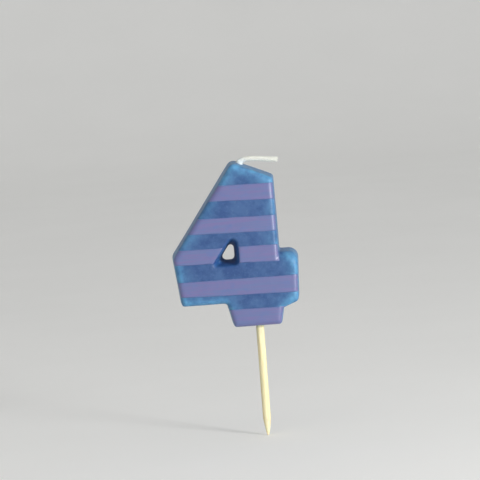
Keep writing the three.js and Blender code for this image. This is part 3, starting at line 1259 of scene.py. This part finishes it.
@dataclass
class StripePrint:
    """The five stripes: six thin patches that lie on the wax and run a little over its edges."""

    stripes: tuple[Stripe, ...] = (
        Stripe("stripe_1", (34.45, 33.6), (38.4, 38.0)),
        Stripe("stripe_2", (25.9, 25.2), (29.85, 29.45)),
        Stripe("stripe_3_left", (17.95, 17.3), (21.9, 21.5), counter_side=Side.LEFT),
        Stripe("stripe_3_right", (18.3, 17.0), (22.05, 21.6), right=6.4, counter_side=Side.RIGHT),
        Stripe("stripe_4", (9.4, 8.7), (13.35, 13.35)),
        Stripe("stripe_5", (-0.4, -0.4), (5.35, 5.1), right=6.9),
    )
    thickness: float = 0.11 * MM
    sunk: float = 0.03 * MM
    lip_share: float = 0.35
    wrap_depth: float = 0.72 * MM
    counter_wrap: float = 0.3 * MM
    print_left: float = -22.0 * MM
    print_right: float = 11.75 * MM
    border_width: float = 0.45 * MM
    room: float = 1.0 * MM
    snap_distance: float = 0.002 * MM
    long_waver: Wave = Wave(0.07 * MM, 5.0 * MM)
    short_waver: Wave = Wave(0.0245 * MM, 1.1 * MM, 9.0)
    wrap_waver: Wave = Wave(0.08 * MM, 2.3 * MM, 40.0)
    first_seed: float = 0.4
    seed_step: float = 1.7
    high_seed: float = 20.0

    def edge(self, ends: tuple[float, float], seed: float) -> Callable[[Vector], float]:
        """Makes the line of a printed edge.

        Args:
            ends: The heights at the left and at the right of the print, in millimetres.
            seed: Which waver it has.

        Returns:
            The edge's height at a place.
        """

        def height(place: Vector) -> float:
            """Finds the edge's height.

            Args:
                place: The place, of which only X counts.

            Returns:
                The height there.
            """
            share = (place.x - self.print_left) / (self.print_right - self.print_left)
            line = (ends[0] + (ends[1] - ends[0]) * share) * MM
            flat = Vector((place.x, 0.0, 0.0))
            return line + self.long_waver.at(flat, seed) + self.short_waver.at(flat, seed)

        return height

    def cut(
        self, form: bmesh.types.BMesh, axis: Axis, line: Callable[[Vector], float], above: bool
    ) -> None:
        """Cuts the patch along a wavering line.

        Args:
            form: The patch, which is changed.
            axis: The axis that the line's height is measured on.
            line: The line's height at a place, which doesn't depend on that axis.
            above: Whether the part above the line goes.
        """
        for vertex in form.verts:
            vertex.co[axis] -= line(vertex.co)
        normal = Vector((0.0, 0.0, 0.0))
        normal[axis] = 1.0
        bmesh.ops.bisect_plane(
            form,
            geom=form.verts[:] + form.edges[:] + form.faces[:],
            dist=self.snap_distance,
            plane_co=(0, 0, 0),
            plane_no=normal,
            clear_outer=above,
            clear_inner=not above,
        )
        for vertex in form.verts:
            vertex.co[axis] += line(vertex.co)

    def patch(self, skin: bpy.types.Mesh, stripe: Stripe, seed: float) -> bmesh.types.BMesh:
        """Takes a stripe's patch off the wax's skin.

        Args:
            skin: The wax's mesh.
            stripe: The stripe.
            seed: Which waver its edges have.

        Returns:
            The patch, on the wax, with no thickness.
        """
        form = bmesh.new()
        form.from_mesh(skin)
        wax, room, side = WaxNumeral(), self.room, stripe.counter_side
        low, high = min(stripe.low) * MM - room, max(stripe.high) * MM + room
        left, right = stripe.left * MM, stripe.right * MM
        wrap_y = wax.face_y + self.wrap_depth
        far = [
            v
            for v in form.verts
            if not (low < v.co.z < high and v.co.y < wrap_y + room)
            or not (left - room < v.co.x < right + room)
        ]
        bmesh.ops.delete(form, geom=far, context="VERTS")
        self.cut(form, Axis.Z, self.edge(stripe.low, seed), False)
        self.cut(form, Axis.Z, self.edge(stripe.high, seed + self.high_seed), True)
        self.cut(form, Axis.X, lambda place: left, False)
        self.cut(form, Axis.X, lambda place: right, True)
        if side is not Side.NEITHER:
            opening = wax.face_opening().inset(self.counter_wrap)
            ends_left = side is Side.LEFT
            self.cut(form, Axis.X, lambda place: opening.reach(place.z, side), ends_left)

        def wrap_line(place: Vector) -> float:
            """Returns how deep the print runs over the numeral's edge at a place."""
            return wrap_y + self.wrap_waver.at(Vector((place.x, 0.0, place.z)), seed)

        self.cut(form, Axis.Y, wrap_line, True)
        return form

    def film(self, form: bmesh.types.BMesh, name: str) -> bpy.types.Mesh:
        """Gives a patch its thickness, with a soft lip all round.

        Args:
            form: The patch, which is used up.
            name: The mesh's name.

        Returns:
            The closed film.
        """
        form.normal_update()
        verts = list(form.verts)
        index = {v: i for i, v in enumerate(verts)}
        rim = {v for e in form.edges if e.is_boundary for v in e.verts}
        rim_places = np.array([v.co for v in rim])
        border = []
        for v in verts:
            away = np.sqrt(((rim_places - np.array(v.co)) ** 2).sum(axis=1).min())
            border.append(max(0.0, 1 - away / self.border_width))
        lip = self.lip_share
        outer = [v.co + v.normal * self.thickness * (lip if v in rim else 1.0) for v in verts]
        inner = [v.co - v.normal * self.sunk for v in verts]
        count = len(verts)
        faces = [[index[v] for v in f.verts] for f in form.faces]
        closed = list(faces) + [[i + count for i in reversed(face)] for face in faces]
        for edge in form.edges:
            if edge.is_boundary:
                loop = edge.link_loops[0]
                a, b = index[loop.vert], index[loop.link_loop_next.vert]
                closed.append([b, a, a + count, b + count])
        form.free()
        mesh = new_mesh(name, outer + inner, closed)
        store(mesh, Mark.BORDER, border + border)
        return mesh

    def build(self, pieces: Pieces, skin: bpy.types.Mesh) -> None:
        """Prints every stripe on the wax.

        Args:
            pieces: The maker of pieces.
            skin: The wax's mesh.
        """
        for number, stripe in enumerate(self.stripes):
            patch = self.patch(skin, stripe, self.seed_step * number + self.first_seed)
            mesh = self.film(patch, f"{stripe.node}_film")
            piece = pieces.dress(mesh, f"{stripe.node}_print", Slot.FILM, [stripe.node])
            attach(piece, Body.CANDLE.value)


@dataclass(frozen=True)
class Ring:
    """A section of a tube: its middle, its two half axes and how far along the cord it lies."""

    centre: Vector
    across: Vector
    up: Vector
    along: float


@dataclass(frozen=True)
class Section:
    """A place on the cord: how far along, its middle, the way ahead and two ways across."""

    along: float
    centre: Vector
    ahead: Vector
    sideways: Vector
    up: Vector

    def outwards(self, angle: float) -> Vector:
        """Returns the way out of the cord at an angle round it."""
        return self.sideways * math.cos(angle) + self.up * math.sin(angle)

    def ring(self, radius: float) -> Ring:
        """Returns a round ring across the cord."""
        return Ring(self.centre, self.sideways * radius, self.up * radius, self.along)


class Tubes:
    """Closed tubes in one mesh, with how far along and how far round the cord each point lies."""

    def __init__(self) -> None:
        """Starts with no tubes."""
        self.points: list[Vector] = []
        self.faces: list[tuple[int, ...]] = []
        self.fibres: list[tuple[float, float]] = []

    def add(self, rings: list[Ring], sides: int) -> None:
        """Adds a closed tube through a row of rings.

        Args:
            rings: The tube's sections.
            sides: How many sides it has.
        """
        self.faces += tube_faces(len(self.points), len(rings), sides)
        for ring in rings:
            for k in range(sides):
                turn = 2 * math.pi * k / sides
                out = ring.across * math.cos(turn) + ring.up * math.sin(turn)
                self.points.append(ring.centre + out)
                self.fibres.append((ring.along / MM, k / sides))

    def mesh(self, name: str) -> bpy.types.Mesh:
        """Makes the mesh of all tubes, with a map of the fibres.

        Args:
            name: The mesh's name.

        Returns:
            The mesh.
        """
        mesh = new_mesh(name, self.points, self.faces)
        corners = np.empty(len(mesh.loops), np.int32)
        mesh.loops.foreach_get("vertex_index", corners)
        layer = mesh.uv_layers.new(name=Mark.FIBRES.value)
        layer.data.foreach_set("uv", np.array(self.fibres, np.float32)[corners].ravel())
        return mesh


@dataclass
class BraidedWick:
    """One braided cord from inside the wax, over the fold, to its cut end.

    Its route is the X and Z of its centre line in millimetres.
    """

    route: tuple[tuple[float, float], ...] = (
        (-2.218, 28.5), (-2.218, 36.0), (-2.318, 41.4), (-2.338, 42.7), (-2.12, 43.6),
        (-1.4, 44.18), (-0.2, 44.42), (1.4, 44.42), (3.2, 44.27), (5.3, 44.02), (7.75, 43.76),
    )
    curve_steps: int = 40
    radius: float = 0.75 * MM
    strands_each_way: int = 4
    pitch: float = 3.4 * MM
    step: float = 0.13 * MM
    strand_half_width: float = 0.29 * MM
    strand_half_depth: float = 0.155 * MM
    strand_sides: int = 8
    sway: float = 0.105 * MM
    core_radius: float = 0.45 * MM
    core_sides: int = 12
    tint_reach: float = 2.4 * MM
    tint_fall: float = 1.5
    coat_radius: float = 0.98 * MM
    coat_reach: float = 1.5 * MM
    coat_start: float = -0.6
    coat_fall: float = 4.0
    coat_taper: float = 0.12 * MM
    coat_lumps: Wave = Wave(0.05 * MM, 0.8 * MM, 2.2)
    coat_sides: int = 24
    fibres: int = 34
    fibre_seed: int = 11
    fibre_spread: float = 0.85
    fibre_depth: float = 0.15 * MM
    fibre_lean: float = 0.45
    fibre_length: tuple[float, float] = (0.25 * MM, 0.55 * MM)
    fibre_radius: tuple[float, float] = (0.035 * MM, 0.06 * MM)
    fibre_curl: float = 0.1 * MM
    fibre_taper: float = 0.6
    fibre_rings: int = 5
    fibre_sides: int = 5
    fold_start: Vector = Vector((-2.45, 0.0, 43.2)) * MM
    fold_end: Vector = Vector((-0.9, 0.0, 44.5)) * MM

    def curve(self) -> list[Vector]:
        """Returns the centre line through the route, as smooth as the fold allows."""
        points = [Vector((x, 0.0, z)) * MM for x, z in self.route]
        smooth: list[Vector] = []
        for i in range(len(points) - 1):
            start, end = points[i], points[i + 1]
            before = points[i - 1] if i > 0 else 2 * start - end
            after = points[i + 2] if i + 2 < len(points) else 2 * end - start
            length = (end - start).length
            head = start + (end - before).normalized() * length / 3
            tail = end - (after - start).normalized() * length / 3
            smooth += geometry.interpolate_bezier(start, head, tail, end, self.curve_steps)[:-1]
        return smooth + [points[-1]]

    def sections(self) -> list[Section]:
        """Cuts the centre line into even steps.

        Returns:
            The cord's sections, from inside the wax to the cut end.
        """
        points = self.curve()
        reach = [0.0]
        for before, here in zip(points, points[1:]):
            reach.append(reach[-1] + (here - before).length)
        table = np.array(points)
        wanted = np.linspace(0.0, reach[-1], round(reach[-1] / self.step) + 1)
        line = [Vector([np.interp(w, reach, table[:, axis]) for axis in Axis]) for w in wanted]
        found = []
        sideways = Vector((0.0, 1.0, 0.0))
        for i, centre in enumerate(line):
            ahead = (line[min(i + 1, len(line) - 1)] - line[max(i - 1, 0)]).normalized()
            found.append(Section(i * self.step, centre, ahead, sideways, ahead.cross(sideways)))
        return found

    def strand(self, cord: list[Section], number: int, winding: Winding) -> list[Ring]:
        """Winds one yarn round the cord, over and under those that wind the other way.

        Args:
            cord: The cord's sections.
            number: Which of the yarns that wind this way.
            winding: Which way it winds.

        Returns:
            The yarn's rings.
        """
        rings = []
        middle = self.radius - self.strand_half_depth - self.sway
        for here in cord:
            wound = 2 * math.pi * here.along / self.pitch
            angle = 2 * math.pi * number / self.strands_each_way + winding * wound
            outwards = here.outwards(angle)
            round_way = here.up * math.cos(angle) - here.sideways * math.sin(angle)
            lift = winding * self.sway * math.cos(self.strands_each_way * wound)
            heading = here.ahead * self.pitch + round_way * winding * 2 * math.pi * middle
            across = heading.normalized().cross(outwards).normalized()
            rings.append(
                Ring(
                    here.centre + outwards * (middle + lift),
                    across * self.strand_half_width,
                    outwards * self.strand_half_depth,
                    here.along,
                )
            )
        return rings

    def cut_end(self, end: Section, tubes: Tubes) -> None:
        """Adds the loose fibres of the cut end.

        Args:
            end: The cord's last section.
            tubes: What gathers the tubes.
        """
        chance = random.Random(self.fibre_seed)
        for _ in range(self.fibres):
            outwards = end.outwards(chance.uniform(0, 2 * math.pi))
            away = self.radius * math.sqrt(chance.random()) * self.fibre_spread
            start = end.centre + outwards * away - end.ahead * self.fibre_depth
            lean = outwards * chance.uniform(0.0, self.fibre_lean) + end.ahead
            length = chance.uniform(*self.fibre_length)
            thick = chance.uniform(*self.fibre_radius)
            rings = []
            for share in np.linspace(0.0, 1.0, self.fibre_rings).tolist():
                centre = start + lean * length * share + outwards * self.fibre_curl * share**2
                slim = thick * (1 - self.fibre_taper * share)
                rings.append(Ring(centre, end.sideways * slim, end.up * slim, end.along))
            tubes.add(rings, self.fibre_sides)

    def coat(self, cord: list[Section], root: Vector) -> list[Ring]:
        """Finds the clear wax that thickens the cord where it leaves the numeral.

        Args:
            cord: The cord's sections.
            root: Where the cord leaves the numeral.

        Returns:
            The rings of the clear wax.
        """
        nearest = min(cord, key=lambda here: (here.centre - root).length)
        rings = []
        for here in cord:
            away = (here.along - nearest.along) / self.coat_reach
            if self.coat_start < away < 1.0:
                bulge = (self.coat_radius - self.radius) * math.exp(-self.coat_fall * away**2)
                radius = self.radius + bulge + self.coat_lumps.at(here.centre)
                radius -= self.coat_taper * max(away, 0.0)
                rings.append(here.ring(radius))
        return rings

    def build(self, pieces: Pieces) -> None:
        """Builds the wick along its bent route, over the top of the numeral.

        Args:
            pieces: The maker of pieces.
        """
        cord, root, tubes = self.sections(), WaxNumeral().wick_root, Tubes()
        tubes.add([here.ring(self.core_radius) for here in cord], self.core_sides)
        for winding in Winding:
            for number in range(self.strands_each_way):
                tubes.add(self.strand(cord, number, winding), self.strand_sides)
        self.cut_end(cord[-1], tubes)
        tubes.add(self.coat(cord, root), self.coat_sides)
        mesh = tubes.mesh("wick_braid")
        nearness = [max(0.0, 1 - (p - root).length / self.tint_reach) for p in tubes.points]
        store(mesh, Mark.TINT, [near**self.tint_fall for near in nearness])
        piece = pieces.dress(mesh, "wick_cord", Slot.COTTON, ["wick_core", "wick_tip"])
        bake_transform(piece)


@dataclass(frozen=True)
class Ridges:
    """Ridges along the wood: how deep, how close round it, how long, and where they start."""

    depth: float
    closeness: float
    length: float
    start: float = 0.0

    def at(self, outwards: Vector, z: float) -> float:
        """Returns how far the wood stands out in a direction at a height."""
        place = outwards * self.closeness + Vector((self.start, 0.0, z / self.length))
        return self.depth * noise.noise(place)


@dataclass
class TurnedPick:
    """The wooden pick, from its flat end in the wax to its point."""

    radius: float = 1.05 * MM
    top: float = 20.0 * MM
    free_length: float = 29.5 * MM
    point_length: float = 4.5 * MM
    point_curve: float = 0.7
    point_rings: int = 16
    point_span: tuple[float, float] = (0.02, 0.98)
    point_gathering: float = 1.4
    tip_radius: float = 0.2 * MM
    end_chamfer: float = 0.12 * MM
    sides: int = 40
    ring_gap: float = 0.5 * MM
    fibres: Ridges = Ridges(0.028 * MM, 3.2, 14.0 * MM)
    turning: Ridges = Ridges(0.02 * MM, 0.9, 5.0 * MM, 7.0)

    def heights(self) -> list[float]:
        """Returns the heights of the pick's rings, from the point to the flat end."""
        shank = np.arange(-self.free_length + self.point_length, self.top, self.ring_gap)
        shares = np.linspace(*self.point_span, self.point_rings) ** self.point_gathering
        point = -self.free_length + self.point_length * shares
        return [*point, *shank, self.top - self.end_chamfer, self.top]

    def radius_at(self, z: float) -> float:
        """Finds the even radius at a height.

        Args:
            z: The height.

        Returns:
            The radius, which falls off in a long curve towards the point.
        """
        above_tip = z + self.free_length
        if z == self.top:
            return self.radius - self.end_chamfer
        if above_tip >= self.point_length:
            return self.radius
        share = max(above_tip, 0.0) / self.point_length
        return self.tip_radius + (self.radius - self.tip_radius) * share**self.point_curve

    def build(self, pieces: Pieces) -> None:
        """Builds the pick and sets it in the frame.

        Args:
            pieces: The maker of pieces.
        """
        heights, points = self.heights(), []
        for z in heights:
            even = self.radius_at(z)
            for k in range(self.sides):
                turn = 2 * math.pi * k / self.sides
                outwards = Vector((math.cos(turn), math.sin(turn), 0.0))
                grain = self.fibres.at(outwards, z) + self.turning.at(outwards, z)
                grown = even + grain * even / self.radius
                points.append(outwards * grown + Vector((0.0, 0.0, z)))
        mesh = new_mesh("pick_turned", points, tube_faces(0, len(heights), self.sides))
        piece = pieces.dress(mesh, "wooden_pick", Slot.WOOD, ["pick"])
        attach(piece, Body.CANDLE.value)


@dataclass(frozen=True)
class Lamp:
    """A soft square lamp: its name, where it stands and its side in metres, its power in watts."""

    name: str
    place: tuple[float, float, float]
    size: float
    watts: float

    def build(self, target: Vector) -> None:
        """Sets the lamp up.

        Args:
            target: The place that it looks at.
        """
        lamp = bpy.data.lights.new(self.name, "AREA")
        lamp.size = self.size
        lamp.energy = self.watts
        holder = add_object(self.name, lamp)
        holder.location = self.place
        ahead = target - Vector(self.place)
        holder.rotation_euler = ahead.to_track_quat("-Z", "Y").to_euler()


@dataclass
class Studio:
    """The floor, the light and the camera."""

    floor_height: float = -29.55 * MM
    floor_reach: float = 3.0
    sweep_start: float = 1.0
    sweep_radius: float = 0.5
    sweep_steps: int = 16
    wall_height: float = 2.5
    key_lamp: Lamp = Lamp("key_lamp", (0.5, -0.6, 0.22), 0.35, 0.6)
    edge_lamp: Lamp = Lamp("edge_lamp", (0.47, -0.53, 0.13), 0.14, 3.9)
    room_light: float = 0.48
    view_azimuth: float = math.radians(0.0)
    view_elevation: float = math.radians(5.5)
    view_roll: float = math.radians(4.4)
    lens: float = 200.0
    sensor: float = 36.0
    nearest: float = 0.01
    furthest: float = 20.0
    frame_width: float = 126.3 * MM
    target: Vector = Vector((-3.55, -4.5, 23.54)) * MM

    def build_floor(self) -> None:
        """Builds the floor, which sweeps up into a plain backdrop far behind."""
        profile = [(-self.floor_reach, self.floor_height)]
        for angle in np.linspace(0.0, math.pi / 2, self.sweep_steps + 1).tolist():
            back = self.sweep_start + self.sweep_radius * math.sin(angle)
            profile.append((back, self.floor_height + self.sweep_radius * (1 - math.cos(angle))))
        profile.append((self.sweep_start + self.sweep_radius, self.wall_height))
        points = [(x, y, z) for y, z in profile for x in (-self.floor_reach, self.floor_reach)]
        faces = [(2 * i, 2 * i + 1, 2 * i + 3, 2 * i + 2) for i in range(len(profile) - 1)]
        mesh = new_mesh("floor_sweep", points, faces)
        mesh.materials.append(PaleBoard().material())
        mesh.shade_smooth()
        floor = add_object("floor_sweep", mesh)

    def build_light(self) -> None:
        """Sets a broad and a narrow lamp at the right, in an even pale room."""
        self.key_lamp.build(self.target)
        self.edge_lamp.build(self.target)
        world = bpy.data.worlds.new("pale_room")
        world.use_nodes = True
        background = world.node_tree.nodes["Background"]
        background.inputs["Color"].default_value = (1.0, 1.0, 1.0, 1.0)
        background.inputs["Strength"].default_value = self.room_light
        bpy.context.scene.world = world
        bpy.context.scene.view_settings.view_transform = "Standard"

    def build_camera(self) -> None:
        """Sets the camera at the viewing angle, with the candle's slight lean in its roll."""
        data = bpy.data.cameras.new("view")
        data.lens = self.lens
        data.sensor_width = self.sensor
        data.clip_start, data.clip_end = self.nearest, self.furthest
        camera = add_object("view", data)
        distance = self.frame_width * self.lens / self.sensor
        camera.matrix_world = (
            Matrix.Translation(self.target)
            @ Matrix.Rotation(self.view_azimuth, 4, "Z")
            @ Matrix.Rotation(math.pi / 2 - self.view_elevation, 4, "X")
            @ Matrix.Rotation(-self.view_roll, 4, "Z")
            @ Matrix.Translation((0.0, 0.0, distance))
        )
        bpy.context.scene.camera = camera

    def build(self) -> None:
        """Builds the whole studio."""
        self.build_floor()
        self.build_light()
        self.build_camera()
        LOG.info("studio: floor, two lamps and camera")


def main() -> None:
    """Builds the candle round its frame, piece by piece."""
    logging.basicConfig(level=logging.INFO, format="%(message)s")
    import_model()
    Studio().build()
    pieces = Pieces()
    skin = WaxNumeral().build(pieces)
    StripePrint().build(pieces, skin)
    BraidedWick().build(pieces)
    TurnedPick().build(pieces)


if __name__ == "__main__":
    main()
